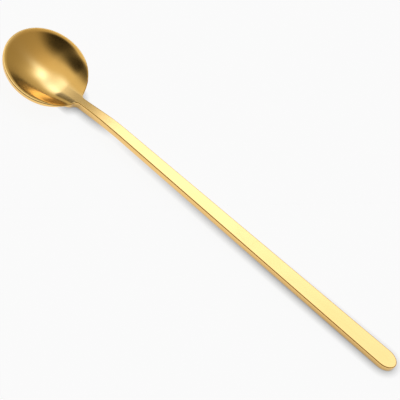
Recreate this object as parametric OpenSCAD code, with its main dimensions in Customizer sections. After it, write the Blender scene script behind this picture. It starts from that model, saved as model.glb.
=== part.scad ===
// Stirring spoon with a long bar handle.
// The bowl is pressed from sheet with a short neck, and a tapered bar is welded to the neck and ground flush.
// Both are laid out with the rim at zero height and the bowl's centre at the origin, the handle along +X.
// Then the spoon is turned a little, so that it lies on the bottom of its bowl and on the end of its handle.

/* [Overall] */
// Length from the tip of the bowl to the end of the handle
spoon_length = 170; // [150:1:190]

/* [Bowl] */
// Length of the bowl along the spoon
bowl_length = 31.2; // [28:0.2:34]
// Width of the bowl
bowl_width = 26.7; // [24:0.1:30]
// Height of the rim above the lowest point of the bowl
bowl_depth = 7.4; // [6.5:0.1:9]
// Thickness of the metal at the bottom of the bowl
bowl_wall = 2.4; // [1.8:0.1:2.8]
// Width of the polished rim, from the outer edge to the hollow
rim_land = 0.5; // [0.4:0.05:0.7]
// Height of the upright outer edge of the rim
rim_height = 1.8; // [0.9:0.1:2]

/* [Neck] */
// Width of the neck where it leaves the bowl
neck_width = 2.7; // [2.2:0.1:3.6]
// Length of the neck from the end of the bowl to the weld
neck_length = 18; // [14:0.5:22]
// Radius of the curve from the bowl into the neck, seen from above
neck_flare = 1.5; // [1:0.1:3]
// How far the underside of the neck dips below the underside of the handle
keel_dip = 3.2; // [2.4:0.1:3.8]
// How far to each side of the neck the rim slopes down to it
neck_spread = 5.6; // [4:0.1:7]
// How far to each side of the neck its underside swells out under the bowl
keel_spread = 7.4; // [5:0.2:9]
// Reach of the soft blend between the underside of the bowl and the underside of the neck
neck_blend = 2.2; // [1.5:0.1:3]

/* [Handle] */
// Width of the bar where it is welded to the neck
weld_width = 3.7; // [3:0.1:4.5]
// Width of the bar near its end
handle_end_width = 6.1; // [5:0.1:8]
// Thickness of the bar
handle_thickness = 3.2; // [2.6:0.1:3.6]
// Length over which the end of the bar rounds off
handle_end_round = 4.6; // [3:0.1:6]
// How far the top of the handle lies below the rim
handle_drop = 0.6; // [0.3:0.1:1]

/* [Edges] */
// Radius of the polished edges of the rim, the neck and the bar
edge_round = 0.35; // [0.2:0.05:0.4]

/* [Hidden] */

// Lengths that follow from the sizes above
half_length = bowl_length / 2;
half_width = bowl_width / 2;
neck_half = neck_width / 2;
weld_half = weld_width / 2;
end_half = handle_end_width / 2;
weld_x = half_length + neck_length;
end_x = spoon_length - half_length;

// How much of the bowl's curve lies in its upper wall
steep_share = 0.1;
// How far from the bowl's centre the form of the neck is whole, as a share of half the bowl's length
root_share = 0.45;
// How far from the bowl's centre the neck stays level, as a share of half the bowl's length
level_share = 0.8;

// How finely each stretch is divided
oval_steps = 28;
flare_steps = 6;
neck_steps = 8;
ring_steps = 18;
round_steps = 3;
bar_end_steps = 14;
// How strongly the rings close up towards the edge, as the arc of a circle they are spaced along
ring_arc = 80;

// Smooth step from 0 to 1
function ease(t) = let (u = min(max(t, 0), 1)) u * u * (3 - 2 * u);
// The lower of two heights, with the edge where they cross rounded over the given reach
function lower(a, b, reach) = let (h = max(reach - abs(a - b), 0)) min(a, b) - h * h / (4 * reach);

// Outline of the bowl seen from above at an angle round it, with its outward normal
function oval(a) = [half_length * cos(a), half_width * sin(a)];
function oval_normal(a) = let (d = [cos(a) / half_length, sin(a) / half_width]) d / norm(d);

// Angle round the bowl at which the flare of the neck leaves it, found by halving
function flare_gap(a) = oval(a).y + neck_flare * (oval_normal(a).y - 1) - neck_half;
function flare_start(low, high, halvings) = let (mid = (low + high) / 2)
    halvings == 0 ? mid
    : flare_gap(mid) > 0 ? flare_start(low, mid, halvings - 1)
    : flare_start(mid, high, halvings - 1);
flare_angle = flare_start(0, 90, 30);
flare_centre = oval(flare_angle) + neck_flare * oval_normal(flare_angle);
flare_from = 180 + atan2(oval_normal(flare_angle).y, oval_normal(flare_angle).x);
flare_to = 270;
// Half the width of the neck, which grows from the flare to the weld
function neck_side(x) = neck_half
    + (weld_half - neck_half) * ease((x - flare_centre.x) / (weld_x - flare_centre.x));

// An outline is a list of [x, y, normal x, normal y], for one side of the spoon and then the whole
function spot(p, n) = [p.x, p.y, n.x, n.y];
function across(p) = [p.x, -p.y, p[2], -p[3]];
function along(from, to, i, steps) = from + (to - from) * i / steps;

bowl_side = concat(
    [for (i = [0:oval_steps]) let (a = along(180, flare_angle, i, oval_steps)) spot(oval(a), oval_normal(a))],
    [for (i = [1:flare_steps]) let (a = along(flare_from, flare_to, i, flare_steps), d = [cos(a), sin(a)])
        spot(flare_centre + neck_flare * d, -d)],
    [for (i = [1:neck_steps]) let (x = along(flare_centre.x, weld_x, i, neck_steps))
        spot([x, neck_side(x)], [0, 1])]);
bowl_outline = concat(bowl_side, [for (i = [len(bowl_side) - 1:-1:1]) across(bowl_side[i])]);

// Rounded end of the bar, half an ellipse, at an angle from its tip, with its outward normal
function bar_end(a) = [end_x - handle_end_round * (1 - cos(a)), end_half * sin(a)];
function bar_end_normal(a) = let (d = [cos(a) / handle_end_round, sin(a) / end_half]) d / norm(d);
bar_side = concat(
    [spot([weld_x, weld_half], [0, 1])],
    [for (i = [0:bar_end_steps]) let (a = along(90, 0, i, bar_end_steps))
        spot(bar_end(a), bar_end_normal(a))]);
bar_outline = concat(bar_side, [for (i = [len(bar_side) - 2:-1:0]) across(bar_side[i])]);

// Where a place lies between the bowl's centre, 0, and the edge of the oval drawn in by an inset, 1, squared
function reach(x, y, inset) = let (l = half_length - inset, w = half_width - inset)
    (x / l) * (x / l) + (y / w) * (y / w);
function hollow(q) = (1 - steep_share) * q + steep_share * q * q;

// How much a place belongs to the neck, from 0 on the rim of the bowl to 1 along the neck
function neckness(x, y, spread) =
    ease(x / (root_share * half_length)) * ease((neck_side(x) + spread - abs(y)) / spread);
function neck_fall(x) = let (from = level_share * half_length) 1 - ease((x - from) / (weld_x - from));
// The upper face in the middle of the spoon, one smooth sweep from the bottom of the hollow up to the handle
function sweep_top(x) = -handle_drop - (bowl_depth - bowl_wall - handle_drop) * (1 - ease(x / weld_x));
// The underside of the neck in the middle of the spoon
function neck_under(x) = -handle_drop - handle_thickness - keel_dip * neck_fall(x);

// Heights of the upper and lower faces of the bowl and neck
function top_at(x, y) =
    let (dish = lower(-(bowl_depth - bowl_wall) * (1 - hollow(reach(x, y, rim_land))), 0, edge_round))
    dish + neckness(x, y, neck_spread) * (sweep_top(x) - dish);
function under_at(x, y) = let (dish = -bowl_depth + (bowl_depth - rim_height) * hollow(reach(x, y, 0)),
    share = neckness(x, y, keel_spread))
    lower(dish, share * neck_under(x), edge_round + (neck_blend - edge_round) * share);

// One ring of an edge rounded over round_steps: step 0 is on the face and the last is on the upright side
function inset(p, d) = [p.x - d * p[2], p.y - d * p[3]];
function edge_point(p, z, step, way) = let (a = along(90, 0, step, round_steps),
    q = inset(p, edge_round * (1 - cos(a)))) [q.x, q.y, z - way * edge_round * (1 - sin(a))];
function edge_ring(outline, z, step, way) =
    [for (i = [0:len(outline) - 1]) edge_point(outline[i], z[i], step, way)];

// Two triangles between each two neighbours on equal rings
function ring_faces(n, rings) = [for (r = [0:rings - 2], i = [0:n - 1], half = [0, 1])
    let (a = r * n + i, b = r * n + (i + 1) % n, c = a + n, d = b + n) half == 0 ? [c, d, b] : [c, b, a]];

// Where a place on the outline is drawn in to: the middle of the bowl, or the middle line of the neck
function spine(p) = [min(p.x * ease(p.x / flare_centre.x), weld_x - weld_half), 0];
function drawn_in(p, share) = spine(p) + (p - spine(p)) * share;
ring_shares = [for (k = [1:ring_steps - 1]) sin(ring_arc * k / ring_steps) / sin(ring_arc)];

// Bowl and neck: rings from the spine out over the upper face, down the edge and back under
bowl_edge = [for (p = bowl_outline) inset(p, edge_round)];
bowl_tops = [for (p = bowl_edge) top_at(p.x, p.y)];
bowl_unders = [for (p = bowl_edge) under_at(p.x, p.y)];
bowl_rings = concat(
    [for (share = ring_shares) [for (p = bowl_edge) let (q = drawn_in(p, share))
        [q.x, q.y, top_at(q.x, q.y)]]],
    [for (s = [0:round_steps]) edge_ring(bowl_outline, bowl_tops, s, 1)],
    [for (s = [round_steps:-1:0]) edge_ring(bowl_outline, bowl_unders, s, -1)],
    [for (k = [len(ring_shares) - 1:-1:0]) [for (p = bowl_edge) let (q = drawn_in(p, ring_shares[k]))
        [q.x, q.y, under_at(q.x, q.y)]]]);
bowl_points = [for (r = bowl_rings) each r];
bowl_count = len(bowl_outline);
bowl_last = (len(bowl_rings) - 1) * bowl_count;
// Strips across the spine, each between two places on one side and the same two on the other
bowl_strips = let (n = bowl_count) concat([[0, 1, n - 1]],
    [for (i = [1:len(bowl_side) - 2]) [i, i + 1, n - i - 1, n - i]]);
bowl_faces = concat(bowl_strips, ring_faces(bowl_count, len(bowl_rings)),
    [for (f = bowl_strips) [for (i = [len(f) - 1:-1:0]) bowl_last + f[i]]]);

// Bar: flat above and below, with the same rounded edges as the neck all round
bar_tops = [for (p = bar_outline) -handle_drop];
bar_unders = [for (p = bar_outline) -handle_drop - handle_thickness];
bar_rings = concat(
    [for (s = [0:round_steps]) edge_ring(bar_outline, bar_tops, s, 1)],
    [for (s = [round_steps:-1:0]) edge_ring(bar_outline, bar_unders, s, -1)]);
bar_points = [for (r = bar_rings) each r];
bar_count = len(bar_outline);
bar_faces = concat(
    [[for (i = [0:bar_count - 1]) i]],
    ring_faces(bar_count, len(bar_rings)),
    [[for (i = [bar_count - 1:-1:0]) (len(bar_rings) - 1) * bar_count + i]]);

// The tilt that brings the end of the handle down to the level of the bowl, and where that leaves the spoon
rest_tilt = atan2(bowl_depth - handle_drop - handle_thickness, end_x - edge_round);
function turned_x(p) = p.x * cos(rest_tilt) + p.z * sin(rest_tilt);
function turned_z(p) = p.z * cos(rest_tilt) - p.x * sin(rest_tilt);
middle_x = (min([for (p = bowl_points) turned_x(p)]) + max([for (p = bar_points) turned_x(p)])) / 2;
lowest_z = min([for (p = concat(bowl_points, bar_points)) turned_z(p)]);

module laid_down() {
    translate([-middle_x, 0, -lowest_z]) rotate([0, rest_tilt, 0]) children();
}

// The slab between the two flat faces of the bar
module bar_flats() {
    translate([0, 0, -handle_drop - handle_thickness])
        linear_extrude(handle_thickness) polygon([for (p = bar_outline) inset(p, edge_round)]);
}

module bowl() {
    color("goldenrod") laid_down() polyhedron(bowl_points, bowl_faces);
}

module handle() {
    color("gold") laid_down() {
        polyhedron(bar_points, bar_faces);
        bar_flats();
    }
}

bowl();
handle();
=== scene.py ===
# Stirring spoon: a pressed bowl with a polished rim, welded to a slim bar handle, all in gold-coloured metal.
# The outline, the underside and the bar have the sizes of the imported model, finely divided. The upper face of
# the bowl and neck has values of its own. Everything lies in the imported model's frame, in metres.
import math

import bpy
import numpy as np
from mathutils import Matrix, Vector


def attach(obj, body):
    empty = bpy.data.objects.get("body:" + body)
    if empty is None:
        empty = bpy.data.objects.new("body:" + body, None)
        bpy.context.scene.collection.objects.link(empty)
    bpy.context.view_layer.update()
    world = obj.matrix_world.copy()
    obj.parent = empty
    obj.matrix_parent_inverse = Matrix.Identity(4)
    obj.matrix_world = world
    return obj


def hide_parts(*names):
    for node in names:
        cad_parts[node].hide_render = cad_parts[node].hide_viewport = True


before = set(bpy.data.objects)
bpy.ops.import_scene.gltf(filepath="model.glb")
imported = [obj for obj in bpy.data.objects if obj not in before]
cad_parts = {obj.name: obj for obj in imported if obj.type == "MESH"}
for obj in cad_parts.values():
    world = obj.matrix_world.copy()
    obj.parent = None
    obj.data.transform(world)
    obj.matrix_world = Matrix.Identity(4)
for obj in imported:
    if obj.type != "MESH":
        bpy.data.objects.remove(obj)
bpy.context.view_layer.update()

MM = 0.001

# Sizes of the spoon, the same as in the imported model
SPOON_LENGTH = 170 * MM
BOWL_LENGTH = 31.2 * MM
BOWL_WIDTH = 26.7 * MM
BOWL_DEPTH = 7.4 * MM
BOWL_WALL = 2.4 * MM
RIM_LAND = 0.5 * MM
RIM_HEIGHT = 1.8 * MM
NECK_WIDTH = 2.7 * MM
NECK_LENGTH = 18 * MM
NECK_FLARE = 1.5 * MM
KEEL_DIP = 3.2 * MM
KEEL_SPREAD = 7.4 * MM
NECK_BLEND = 2.2 * MM
WELD_WIDTH = 3.7 * MM
HANDLE_END_WIDTH = 6.1 * MM
HANDLE_THICKNESS = 3.2 * MM
HANDLE_END_ROUND = 4.6 * MM
HANDLE_DROP = 0.6 * MM
EDGE_ROUND = 0.35 * MM

# Shares that set the form below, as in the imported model: how much the bowl's curve steepens towards the rim,
# and where along the bowl's half length the keel is full and starts to rise
UNDER_STEEP = 0.1
UNDER_ROOT = 0.45
LEVEL_SHARE = 0.8
# The upper face differs from the imported model. The hollow is rounder near the rim, the neck flows wider into
# it and so lowers the rim beside it by up to 1.6 mm, and the rim's lip slopes a little towards the hollow.
# These values were chosen for the reflections.
TOP_STEEP = -0.25
TOP_SPREAD = 10 * MM
TOP_ROOT = 0.6
LIP_SLOPE = 0.14
LIP_WIDTH = 2 * MM

HALF_LENGTH, HALF_WIDTH = BOWL_LENGTH / 2, BOWL_WIDTH / 2
NECK_HALF, WELD_HALF, END_HALF = NECK_WIDTH / 2, WELD_WIDTH / 2, HANDLE_END_WIDTH / 2
WELD_X = HALF_LENGTH + NECK_LENGTH
END_X = SPOON_LENGTH - HALF_LENGTH

# How finely each stretch is divided
OVAL_STEPS = 96
FLARE_STEPS = 16
NECK_STEPS = 30
RING_STEPS = 56
ROUND_STEPS = 7
BAR_STEPS = 70
BAR_END_STEPS = 32
# Halvings that find where the flare starts
HALVINGS = 40
# The bowl's rings follow the sine of this arc, so that they crowd together towards the rim
RING_ARC = math.radians(80)
# How far inside the rounded edge the last ring of a flat face lies, so that the face shades flat
FLAT_MARGIN = 0.03 * MM
# Faces that meet at more than this angle keep a sharp edge
SHARP_ANGLE = math.radians(50)
# Keeps a divisor above zero
TINY = 1e-9


def ease(t):
    """Smooth step from 0 to 1."""
    u = np.clip(t, 0, 1)
    return u * u * (3 - 2 * u)


def lower(a, b, width):
    """The lower of two heights, with the edge where they cross rounded over the given width."""
    h = np.maximum(width - abs(a - b), 0)
    return np.minimum(a, b) - h * h / (4 * width)


def on_oval(a):
    """Place on the bowl's outline seen from above, at an angle round it, and the outward normal there."""
    c, s = math.cos(a), math.sin(a)
    nx, ny = c / HALF_LENGTH, s / HALF_WIDTH
    size = math.hypot(nx, ny)
    return HALF_LENGTH * c, HALF_WIDTH * s, nx / size, ny / size


def find_flare():
    """Angle round the bowl at which the curve into the neck leaves it, and the centre of that curve."""
    low, high = 0.0, math.pi / 2
    for _ in range(HALVINGS):
        mid = (low + high) / 2
        x, y, nx, ny = on_oval(mid)
        if y + NECK_FLARE * (ny - 1) > NECK_HALF:
            high = mid
        else:
            low = mid
    x, y, nx, ny = on_oval(low)
    return low, (x + NECK_FLARE * nx, y + NECK_FLARE * ny)


FLARE_ANGLE, FLARE_CENTRE = find_flare()


def neck_side(x):
    """Half the width of the neck, which grows from the bowl to the weld."""
    return NECK_HALF + (WELD_HALF - NECK_HALF) * ease((x - FLARE_CENTRE[0]) / (WELD_X - FLARE_CENTRE[0]))


def whole_outline(side):
    """An outline round both sides, clockwise from above, from one side that starts at the tip."""
    return np.array(side + [(x, -y, nx, -ny) for x, y, nx, ny in side[:0:-1]])


def bowl_outline():
    """Bowl and neck seen from above: place and outward normal, from the bowl's tip to the weld and back."""
    side = [on_oval(a) for a in np.linspace(math.pi, FLARE_ANGLE, OVAL_STEPS + 1)]
    nx, ny = side[-1][2:]
    for a in np.linspace(math.pi + math.atan2(ny, nx), 1.5 * math.pi, FLARE_STEPS + 1)[1:]:
        c, s = math.cos(a), math.sin(a)
        side.append((FLARE_CENTRE[0] + NECK_FLARE * c, FLARE_CENTRE[1] + NECK_FLARE * s, -c, -s))
    for x in np.linspace(FLARE_CENTRE[0], WELD_X, NECK_STEPS + 1)[1:]:
        side.append((x, float(neck_side(x)), 0, 1))
    return whole_outline(side)


def bar_outline():
    """The bar seen from above, from the tip of its rounded end to the weld and back."""
    side = []
    for a in np.linspace(0, math.pi / 2, BAR_END_STEPS + 1):
        c, s = math.cos(a), math.sin(a)
        nx, ny = c / HANDLE_END_ROUND, s / END_HALF
        size = math.hypot(nx, ny)
        side.append((END_X - HANDLE_END_ROUND * (1 - c), -END_HALF * s, nx / size, -ny / size))
    straight = END_X - HANDLE_END_ROUND
    for t in np.linspace(0, 1, BAR_STEPS + 1)[1:]:
        side.append((straight + (WELD_X - straight) * t, -END_HALF - (WELD_HALF - END_HALF) * t, 0, -1))
    return whole_outline(side)


def inset(outline, d):
    """The outline drawn in by a distance."""
    return outline[:, :2] - d * outline[:, 2:]


def reach(x, y, d):
    """0 at the bowl's centre and 1 on the oval drawn in by a distance, squared."""
    return (x / (HALF_LENGTH - d)) ** 2 + (y / (HALF_WIDTH - d)) ** 2


def climb(q, steep):
    """Share of the bowl's depth that its curve has climbed."""
    return (1 - steep) * q + steep * q * q


def neckness(x, y, spread, root):
    """0 on the rim of the bowl and 1 along the neck."""
    return ease(x / (root * HALF_LENGTH)) * ease((neck_side(x) + spread - abs(y)) / spread)


def neck_fall(x):
    """1 where the neck leaves the bowl and 0 at the weld."""
    start = LEVEL_SHARE * HALF_LENGTH
    return 1 - ease((x - start) / (WELD_X - start))


def sweep_top(x):
    """Middle line of the upper face, one smooth sweep from the bottom of the bowl up to the handle."""
    return -HANDLE_DROP - (BOWL_DEPTH - BOWL_WALL - HANDLE_DROP) * (1 - ease(x / WELD_X))


def neck_under(x):
    """Middle line of the underside of the neck."""
    return -HANDLE_DROP - HANDLE_THICKNESS - KEEL_DIP * neck_fall(x)


def top_at(x, y):
    """Height of the upper face of the bowl and neck. Its polished lip slopes a little towards the hollow."""
    dish = -(BOWL_DEPTH - BOWL_WALL) * (1 - climb(reach(x, y, RIM_LAND), TOP_STEEP))
    out = np.sqrt(np.maximum(reach(x, y, 0), TINY))
    lip = -LIP_SLOPE * np.clip(np.hypot(x, y) * (1 / out - 1), 0, LIP_WIDTH)
    dish = lower(dish, lip, EDGE_ROUND)
    return dish + neckness(x, y, TOP_SPREAD, TOP_ROOT) * (sweep_top(x) - dish)


def under_at(x, y):
    """Height of the lower face of the bowl and neck."""
    dish = -BOWL_DEPTH + (BOWL_DEPTH - RIM_HEIGHT) * climb(reach(x, y, 0), UNDER_STEEP)
    share = neckness(x, y, KEEL_SPREAD, UNDER_ROOT)
    return lower(dish, share * neck_under(x), EDGE_ROUND + (NECK_BLEND - EDGE_ROUND) * share)


def edge_rings(outline, tops, unders):
    """Rings that round the upper edge, run down the upright side and round the lower edge."""
    rings = []
    for z, way in ((tops, 1), (unders, -1)):
        arc = np.linspace(math.pi / 2, 0, ROUND_STEPS + 1)[::way]
        for a in arc:
            p = inset(outline, EDGE_ROUND * (1 - math.cos(a)))
            rings.append(np.column_stack([p, z - way * EDGE_ROUND * (1 - math.sin(a))]))
    return rings


def shrunk(edge, share):
    """The outline shrunk towards the middle of the bowl and the middle line of the neck."""
    spine = np.minimum(edge[:, 0] * ease(edge[:, 0] / FLARE_CENTRE[0]), WELD_X - WELD_HALF)
    return spine + (edge[:, 0] - spine) * share, edge[:, 1] * share


def bowl_rings():
    """Rings over the hollow, round the rim and back under the bowl."""
    outline = bowl_outline()
    edge = inset(outline, EDGE_ROUND)
    shares = np.sin(RING_ARC * np.arange(1, RING_STEPS) / RING_STEPS) / math.sin(RING_ARC)
    over, under = [], []
    for share in shares:
        x, y = shrunk(edge, share)
        over.append(np.column_stack([x, y, top_at(x, y)]))
        under.append(np.column_stack([x, y, under_at(x, y)]))
    return over, edge_rings(outline, top_at(*edge.T), under_at(*edge.T)), under[::-1]


def bar_rings():
    """Rings round the bar: flat above and below, with rounded edges and a rounded end."""
    outline = bar_outline()
    tops = np.full(len(outline), -HANDLE_DROP)
    unders = tops - HANDLE_THICKNESS
    flat = inset(outline, EDGE_ROUND + FLAT_MARGIN)
    over, under = np.column_stack([flat, tops]), np.column_stack([flat, unders])
    return [over], edge_rings(outline, tops, unders), [under]


def laid_down(points):
    """Turns points so that the spoon lies on the bottom of its bowl and on the end of its handle."""
    tilt = math.atan2(BOWL_DEPTH - HANDLE_DROP - HANDLE_THICKNESS, END_X - EDGE_ROUND)
    c, s = math.cos(tilt), math.sin(tilt)
    x, y, z = points.T
    return np.column_stack([x * c + z * s, y, z * c - x * s])


def skin(name, points, count, edge):
    """A closed mesh over rings of equal count, with strips across its middle line above and below."""
    last = len(points) - count
    strips = [(0, 1, count - 1)] + [(i, i + 1, count - i - 1, count - i) for i in range(1, count // 2)]
    faces = [s[::-1] for s in strips] + [tuple(last + i for i in s) for s in strips]
    for start in range(0, last, count):
        for i in range(count):
            j = (i + 1) % count
            faces.append((start + i, start + j, start + count + j, start + count + i))
    mesh = bpy.data.meshes.new(name)
    mesh.from_pydata(points.tolist(), [], faces)
    mesh.attributes.new("edge", "FLOAT", "POINT").data.foreach_set("value", edge)
    mesh.shade_smooth()
    mesh.set_sharp_from_angle(angle=SHARP_ANGLE)
    made = bpy.data.objects.new(name, mesh)
    bpy.context.collection.objects.link(made)
    return made


def make_pieces():
    """The bowl with its neck and the bar, laid down together and set over the frame's origin."""
    # The mesh's edge value is 1 in the middle of each rounded edge and 0 on the flats and upright sides
    rounding = np.sin(np.linspace(0, math.pi, ROUND_STEPS + 1))
    forms = []
    for over, side, under in (bowl_rings(), bar_rings()):
        edge = [0.0] * len(over) + [*rounding, *rounding] + [0.0] * len(under)
        count = len(side[0])
        forms.append((laid_down(np.concatenate(over + side + under)), count, np.repeat(edge, count)))
    bowl_points, bar_points = forms[0][0], forms[1][0]
    middle = (bowl_points[:, 0].min() + bar_points[:, 0].max()) / 2
    lowest = min(bowl_points[:, 2].min(), bar_points[:, 2].min())
    pieces = []
    for node, (points, count, edge) in zip(("bowl", "handle"), forms):
        piece = skin(node + "_polished", points - (middle, 0, lowest), count, edge)
        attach(piece, "root")
        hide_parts(node)
        pieces.append(piece)
    return pieces


class Nodes:
    """A node tree being wired: makes nodes with their values and links in one call."""

    def __init__(self, tree):
        self.tree = tree

    def add(self, kind, inputs=None, **settings):
        node = self.tree.nodes.new(kind)
        for key, value in settings.items():
            setattr(node, key, value)
        for key, value in (inputs or {}).items():
            if isinstance(value, bpy.types.NodeSocket):
                self.tree.links.new(value, node.inputs[key])
            else:
                node.inputs[key].default_value = value
        return node

    def math(self, operation, a, b=0.0, clamp=False):
        return self.add("ShaderNodeMath", {0: a, 1: b}, operation=operation, use_clamp=clamp).outputs[0]

    def noise(self, vector, scale, detail, roughness=0.5):
        values = {"Vector": vector, "Scale": scale, "Detail": detail, "Roughness": roughness}
        return self.add("ShaderNodeTexNoise", values).outputs["Fac"]

    def ramp(self, value, low, high, to_low=0.0, to_high=1.0):
        values = {"Value": value, "From Min": low, "From Max": high, "To Min": to_low, "To Max": to_high}
        return self.add("ShaderNodeMapRange", values, interpolation_type="SMOOTHSTEP").outputs["Result"]

    def mix(self, factor, a, b):
        """Mix of two colours. The node's sockets 6 and 7 and its output 2 are the ones for colours."""
        return self.add("ShaderNodeMix", {"Factor": factor, 6: a, 7: b}, data_type="RGBA").outputs[2]

    def group(self, tree, **inputs):
        return self.add("ShaderNodeGroup", inputs, node_tree=tree).outputs


def new_group(name, setting, value, outputs):
    """An empty shader node group with a place and one setting: the group, its wiring and its inner ends."""
    tree = bpy.data.node_groups.new(name, "ShaderNodeTree")
    tree.interface.new_socket("Place", in_out="INPUT", socket_type="NodeSocketVector")
    tree.interface.new_socket(setting, in_out="INPUT", socket_type="NodeSocketFloat").default_value = value
    for socket in outputs:
        tree.interface.new_socket(socket, in_out="OUTPUT", socket_type="NodeSocketFloat")
    wiring = Nodes(tree)
    return tree, wiring, wiring.add("NodeGroupInput").outputs, wiring.add("NodeGroupOutput")


def finish_group(tree, end, **results):
    """Joins results to the group's outputs."""
    for name, value in results.items():
        tree.links.new(value, end.inputs[name])
    return tree


# Detail of a noise: broad forms only, or the usual
BROAD, USUAL = 1.0, 2.0
# Polishing lines: they fade in broad patches
LINE_FINENESS = 2600.0
LINE_DETAIL, LINE_BREAK = 3.0, 0.6
LINE_PATCHES = 0.12
LINE_EDGE = (0.2, 0.36)
# Hairlines: bent cell borders, left out in patches
HAIR_SPACING = 150.0
HAIR_BENDS, HAIR_BEND = 60.0, 0.012
HAIR_WIDTH = 0.012
HAIR_PATCHES, HAIR_EDGE = 90.0, (0.52, 0.62)
# Smudges: broad marks with a fine grain in them
SMUDGE_SIZE = 75.0
SMUDGE_DETAIL, SMUDGE_BREAK = 3.0, 0.55
SMUDGE_EDGE = (0.42, 0.7)
SMUDGE_GRAIN, SMUDGE_GRAIN_BREAK = 9.0, 0.7
SMUDGE_GRAIN_EDGE, SMUDGE_GRAIN_LEAST = (0.25, 0.75), 0.4
# Edge wear and a painted highlight along the rounded edges: broken up, and nowhere quite gone along a rounded
# edge
WEAR_AND_HIGHLIGHT_PATCHES = 240.0
WEAR_AND_HIGHLIGHT_DETAIL, WEAR_AND_HIGHLIGHT_BREAK = 4.0, 0.6
WEAR_AND_HIGHLIGHT_EDGE, WEAR_AND_HIGHLIGHT_LEAST = (0.3, 0.7), 0.25


def polish_lines_group():
    """Fine lines that the polishing wheel leaves along a direction: a height and a mask."""
    tree, w, given, end = new_group("polish_lines", "Fineness", LINE_FINENESS, ["Height", "Mask"])
    lines = w.noise(given["Place"], given["Fineness"], LINE_DETAIL, LINE_BREAK)
    patches = w.noise(given["Place"], w.math("MULTIPLY", given["Fineness"], LINE_PATCHES), USUAL)
    mask = w.ramp(w.math("MULTIPLY", lines, patches), *LINE_EDGE)
    return finish_group(tree, end, Height=lines, Mask=mask)


def hairlines_group():
    """Thin scratches from use, in all directions: a mask."""
    tree, w, given, end = new_group("hairlines", "Spacing", HAIR_SPACING, ["Mask"])
    place = given["Place"]
    values = {"Vector": place, "Scale": HAIR_BENDS, "Detail": BROAD}
    bend = w.add("ShaderNodeTexNoise", values).outputs["Color"]
    bend = w.add("ShaderNodeVectorMath", {0: bend, "Scale": HAIR_BEND}, operation="SCALE").outputs[0]
    bent = w.add("ShaderNodeVectorMath", {0: place, 1: bend}, operation="ADD").outputs[0]
    cells = {"Vector": bent, "Scale": given["Spacing"]}
    border = w.add("ShaderNodeTexVoronoi", cells, feature="DISTANCE_TO_EDGE").outputs["Distance"]
    thin = w.ramp(border, 0.0, HAIR_WIDTH, 1.0, 0.0)
    patches = w.ramp(w.noise(place, HAIR_PATCHES, BROAD), *HAIR_EDGE)
    return finish_group(tree, end, Mask=w.math("MULTIPLY", thin, patches))


def smudges_group():
    """Faint finger marks and wiped patches: a mask."""
    tree, w, given, end = new_group("smudges", "Size", SMUDGE_SIZE, ["Mask"])
    marks = w.ramp(w.noise(given["Place"], given["Size"], SMUDGE_DETAIL, SMUDGE_BREAK), *SMUDGE_EDGE)
    finer = w.math("MULTIPLY", given["Size"], SMUDGE_GRAIN)
    grain = w.noise(given["Place"], finer, USUAL, SMUDGE_GRAIN_BREAK)
    grain = w.ramp(grain, *SMUDGE_GRAIN_EDGE, SMUDGE_GRAIN_LEAST, 1.0)
    return finish_group(tree, end, Mask=w.math("MULTIPLY", marks, grain))


def edge_wear_and_highlight_group():
    """Where the rounded edges are rubbed bright, partly real wear and partly a painted highlight line: a mask
    from the mesh's own edge value, broken up.
    """
    tree, w, given, end = new_group("edge_wear_and_highlight", "Patchiness", WEAR_AND_HIGHLIGHT_PATCHES, ["Mask"])
    edge = w.add("ShaderNodeAttribute", attribute_type="GEOMETRY", attribute_name="edge").outputs["Fac"]
    patches = w.noise(given["Place"], given["Patchiness"], WEAR_AND_HIGHLIGHT_DETAIL, WEAR_AND_HIGHLIGHT_BREAK)
    patches = w.ramp(patches, *WEAR_AND_HIGHLIGHT_EDGE, WEAR_AND_HIGHLIGHT_LEAST, 1.0)
    return finish_group(tree, end, Mask=w.math("MULTIPLY", edge, patches))


GOLD = (0.93, 0.585, 0.185, 1)
DEEP_GOLD = (0.87, 0.52, 0.15, 1)
# Paler gold of the rubbed edges: partly real wear and partly a painted highlight along them
RUBBED_AND_HIGHLIGHT_GOLD = (0.95, 0.66, 0.27, 1)
# Broad change from gold to the deeper gold: its noise, where it sets in and how far it goes
TONE_SCALE, TONE_DETAIL, TONE_EDGE, TONE_MOST = 26.0, 3.0, (0.3, 0.75), 0.7
# How far the rubbed edges, partly a painted highlight, turn to the paler gold
RUBBED_AND_HIGHLIGHT_MOST = 0.45
# Roughness of each piece's polish, and what the polishing lines add to it
BOWL_ROUGHNESS, BOWL_LINES = 0.15, 0.02
BAR_ROUGHNESS, BAR_LINES = 0.14, 0.03
# What smudges and hairlines add to the roughness and what edge wear takes away
SMUDGE_ROUGHNESS, HAIR_ROUGHNESS, WORN_SMOOTHNESS = 0.045, 0.08, 0.03
# Bumps: lines and hairlines are fine ones, and waves of the polish are broad ones
LINE_HEIGHT = 0.5
FINE_STRENGTH, FINE_DISTANCE = 0.05, 0.02 * MM
WAVE_SCALE, WAVE_STRENGTH, WAVE_DISTANCE = 110.0, 0.2, 0.08 * MM
# How far the lines are drawn out along the bar and round the bowl
DRAWN_ALONG = (0.03, 1.0, 1.0)
DRAWN_ROUND = 0.0006


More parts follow.
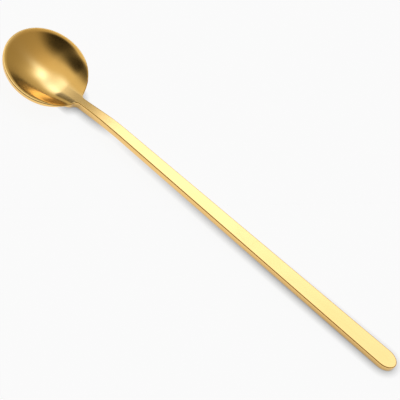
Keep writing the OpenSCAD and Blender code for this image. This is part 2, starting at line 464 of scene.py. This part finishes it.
def gold_finish(name, groups, draw_out, roughness, line_roughness):
    """Gold-coloured metal: polishing lines, hairlines, smudges and rubbed edges, partly a painted highlight,
    over one base.
    """
    material = bpy.data.materials.new(name)
    material.use_nodes = True
    w = Nodes(material.node_tree)
    shader = material.node_tree.nodes["Principled BSDF"]
    place = w.add("ShaderNodeTexCoord").outputs["Object"]
    lines = w.group(groups["polish_lines"], Place=draw_out(w, place), Fineness=LINE_FINENESS)
    hair = w.group(groups["hairlines"], Place=place, Spacing=HAIR_SPACING)["Mask"]
    smudge = w.group(groups["smudges"], Place=place, Size=SMUDGE_SIZE)["Mask"]
    worn_and_highlight = w.group(groups["edge_wear_and_highlight"], Place=place, Patchiness=WEAR_AND_HIGHLIGHT_PATCHES)["Mask"]

    tone = w.ramp(w.noise(place, TONE_SCALE, TONE_DETAIL), *TONE_EDGE, 0.0, TONE_MOST)
    # The rounded edges turn to the paler gold: partly wear, partly a painted highlight
    colour = w.mix(w.math("MULTIPLY", worn_and_highlight, RUBBED_AND_HIGHLIGHT_MOST), w.mix(tone, GOLD, DEEP_GOLD), RUBBED_AND_HIGHLIGHT_GOLD)

    rough = w.math("ADD", w.math("MULTIPLY", smudge, SMUDGE_ROUGHNESS), roughness)
    rough = w.math("ADD", rough, w.math("MULTIPLY", lines["Mask"], line_roughness))
    rough = w.math("ADD", rough, w.math("MULTIPLY", hair, HAIR_ROUGHNESS))
    rough = w.math("SUBTRACT", rough, w.math("MULTIPLY", worn_and_highlight, WORN_SMOOTHNESS), clamp=True)

    height = w.math("SUBTRACT", w.math("MULTIPLY", lines["Height"], LINE_HEIGHT), hair)
    fine = w.add("ShaderNodeBump", {"Height": height, "Strength": FINE_STRENGTH, "Distance": FINE_DISTANCE})
    wavy = w.add("ShaderNodeBump", {
        "Height": w.noise(place, WAVE_SCALE, BROAD), "Strength": WAVE_STRENGTH, "Distance": WAVE_DISTANCE,
        "Normal": fine.outputs["Normal"]})
    for socket, value in (("Base Color", colour), ("Roughness", rough), ("Normal", wavy.outputs["Normal"])):
        w.tree.links.new(value, shader.inputs[socket])
    shader.inputs["Metallic"].default_value = 1.0
    return material


def along_the_bar(w, place):
    """Coordinates drawn out along the bar, so that the lines run lengthwise."""
    return w.add("ShaderNodeMapping", {"Vector": place, "Scale": DRAWN_ALONG}).outputs[0]


def round_the_bowl(w, place):
    """Coordinates drawn out round the bowl's middle, so that the lines circle the hollow."""
    split = w.add("ShaderNodeSeparateXYZ", {0: place}).outputs
    x, y = w.math("ADD", split["X"], END_X - SPOON_LENGTH / 2), split["Y"]
    angle = w.math("ARCTAN2", y, x)
    radius = w.math("SQRT", w.math("ADD", w.math("MULTIPLY", x, x), w.math("MULTIPLY", y, y)))
    values = {"X": radius, "Y": w.math("MULTIPLY", angle, DRAWN_ROUND), "Z": split["Z"]}
    return w.add("ShaderNodeCombineXYZ", values).outputs[0]


def add_finishes(bowl, bar):
    """The two finishes of the one gold colour: circling polish on the bowl and lengthwise on the bar."""
    groups = {"polish_lines": polish_lines_group(), "hairlines": hairlines_group(),
              "smudges": smudges_group(), "edge_wear_and_highlight": edge_wear_and_highlight_group()}
    for piece, name, draw_out, roughness, line_roughness in (
            (bowl, "bowl_gold", round_the_bowl, BOWL_ROUGHNESS, BOWL_LINES),
            (bar, "bar_gold", along_the_bar, BAR_ROUGHNESS, BAR_LINES)):
        piece.data.materials.append(gold_finish(name, groups, draw_out, roughness, line_roughness))


# Camera: direction of view in the frame's terms, roll of the picture and the point it aims at
VIEW_AZIMUTH = 16.58
VIEW_ELEVATION = 64.13
VIEW_ROLL = 25.02
VIEW_DISTANCE = 0.7
PIXELS_PER_MM = 2.988
PICTURE = 400
SENSOR_WIDTH = 36
NEAREST_SEEN = 0.01
AIM = Vector((-0.287, 0.120, 4.095)) * MM


def add_camera():
    """The photograph's view: a long lens from above and to the right, with the picture turned clockwise."""
    data = bpy.data.cameras.new("camera")
    data.sensor_width = SENSOR_WIDTH
    data.lens = PIXELS_PER_MM / MM * VIEW_DISTANCE / PICTURE * SENSOR_WIDTH
    data.clip_start = NEAREST_SEEN
    camera = bpy.data.objects.new("camera", data)
    bpy.context.collection.objects.link(camera)
    a, e = math.radians(VIEW_AZIMUTH), math.radians(VIEW_ELEVATION)
    back = Vector((math.sin(a) * math.cos(e), -math.cos(a) * math.cos(e), math.sin(e)))
    turn = back.to_track_quat("Z", "Y").to_matrix() @ Matrix.Rotation(math.radians(VIEW_ROLL), 3, "Z")
    camera.matrix_world = Matrix.Translation(AIM + back * VIEW_DISTANCE) @ turn.to_4x4()
    bpy.context.scene.camera = camera


# The studio round the spoon. Each soft light has a direction, a width and height in degrees and a strength.
ROOM = (0.25, 0.215, 0.13)
SOFT_LIGHTS = [
    ("window", (-19, 50), (13, 14), (0.85, 1.2, 2.4)),
    ("window_top", (-9, 65), (19, 11), (0.52, 0.75, 1.35)),
    ("window_glow", (-12, 44), (21, 22), (0.5, 0.53, 0.5)),
    ("ceiling", (-40, 86), (36, 34), (0.38, 0.35, 0.29)),
    ("left_wall", (-112, 55), (42, 26), (0.34, 0.36, 0.37)),
    ("left_screen", (-88, 14), (34, 12), (1.5, 1.55, 1.6)),
]
# Dark parts of the room, each with a direction, a size in degrees and the share of light that it takes:
# the camera's side, a low strip behind the spoon and the wall beside the window
DARK_PARTS = [
    ((172, 16), (49, 45.5), 0.96),
    ((0, 4), (45, 9), 0.9),
    ((-50, 35), (21, 16), 0.75),
]
# Where the edge of a dark part starts and ends, as a squared share of its size
DARK_EDGE = (0.7, 1.2)


def direction(azimuth, elevation):
    """A direction in the frame: azimuth 0 is +Y, behind the spoon, and 90 is +X, beyond its handle."""
    a, e = math.radians(azimuth), math.radians(elevation)
    return Vector((math.sin(a) * math.cos(e), math.cos(a) * math.cos(e), math.sin(e)))


def add_studio():
    """A room of soft lights: a tall window behind the spoon, a pale left side and a dark camera side."""
    world = bpy.data.worlds.new("studio")
    bpy.context.scene.world = world
    world.use_nodes = True
    w = Nodes(world.node_tree)
    toward = w.add("ShaderNodeTexCoord").outputs["Generated"]

    def along(axis):
        return w.add("ShaderNodeVectorMath", {0: toward, 1: axis}, operation="DOT_PRODUCT").outputs["Value"]

    def off_squared(axis, degrees):
        share = w.math("MULTIPLY", along(axis), 1 / math.radians(degrees))
        return w.math("MULTIPLY", share, share)

    def patch(place, size):
        """How far outside an oval patch of the room a direction lies, squared, and whether it faces it."""
        middle, sideways = direction(*place), direction(place[0] + 90, 0)
        across, up = off_squared(sideways, size[0]), off_squared(sideways.cross(middle), size[1])
        return w.math("ADD", across, up), w.math("GREATER_THAN", along(middle), 0.0)

    def glow(outside, facing):
        return w.math("MULTIPLY", w.math("EXPONENT", w.math("MULTIPLY", outside, -1.0)), facing)

    total = w.add("ShaderNodeCombineXYZ", dict(zip("XYZ", ROOM))).outputs[0]
    for name, place, size, strength in SOFT_LIGHTS:
        values = {0: strength, "Scale": glow(*patch(place, size))}
        light = w.add("ShaderNodeVectorMath", values, operation="SCALE", label=name)
        total = w.add("ShaderNodeVectorMath", {0: total, 1: light.outputs[0]}, operation="ADD").outputs[0]
    for place, size, depth in DARK_PARTS:
        outside, facing = patch(place, size)
        dark = w.math("MULTIPLY", w.ramp(outside, *DARK_EDGE, 1.0, 0.0), facing)
        shade = w.math("SUBTRACT", 1.0, w.math("MULTIPLY", dark, depth), clamp=True)
        total = w.add("ShaderNodeVectorMath", {0: total, "Scale": shade}, operation="SCALE").outputs[0]
    w.tree.links.new(total, world.node_tree.nodes["Background"].inputs["Color"])


FLOOR_HALF = 4.0
FLOOR_COLOUR = (0.96, 0.96, 0.96, 1)
WHITE = (1, 1, 1, 1)
# Share of plain white in the floor that the camera and reflections see, and how near to the spoon that white is
# darkened by a painted contact shadow
FLOOR_WHITE_SHARE = 0.92
CONTACT_REACH = 3 * MM
CONTACT_SAMPLES = 8


def add_floor():
    """A wide pale floor, seen partly by the light on it and partly plain white, with a painted contact shadow
    darkening the white close to the spoon.
    """
    corners = [(x * FLOOR_HALF, y * FLOOR_HALF, 0) for x, y in ((-1, -1), (1, -1), (1, 1), (-1, 1))]
    mesh = bpy.data.meshes.new("floor")
    mesh.from_pydata(corners, [], [(0, 1, 2, 3)])
    floor = bpy.data.objects.new("floor", mesh)
    bpy.context.collection.objects.link(floor)
    material = bpy.data.materials.new("pale_floor")
    material.use_nodes = True
    w = Nodes(material.node_tree)
    w.tree.nodes.remove(w.tree.nodes["Principled BSDF"])
    pale = w.add("ShaderNodeBsdfDiffuse", {"Color": FLOOR_COLOUR}).outputs[0]
    # Ambient occlusion dims the plain white near the spoon: a painted contact shadow, also seen in the spoon's
    # reflections
    painted_contact_shadow = w.add("ShaderNodeAmbientOcclusion", {"Distance": CONTACT_REACH}, samples=CONTACT_SAMPLES)
    white = w.add("ShaderNodeEmission", {"Color": WHITE, "Strength": painted_contact_shadow.outputs["AO"]}).outputs[0]
    ray = w.add("ShaderNodeLightPath").outputs
    seen = w.math("ADD", ray["Is Camera Ray"], ray["Is Glossy Ray"])
    seen = w.math("ADD", seen, ray["Is Transmission Ray"], clamp=True)
    share = w.math("MULTIPLY", seen, FLOOR_WHITE_SHARE)
    mixed = w.add("ShaderNodeMixShader", {0: share, 1: pale, 2: white}).outputs[0]
    w.tree.links.new(mixed, w.tree.nodes["Material Output"].inputs["Surface"])
    mesh.materials.append(material)


bowl, bar = make_pieces()
add_finishes(bowl, bar)
add_camera()
add_studio()
add_floor()
bpy.context.scene.view_settings.view_transform = "Standard"
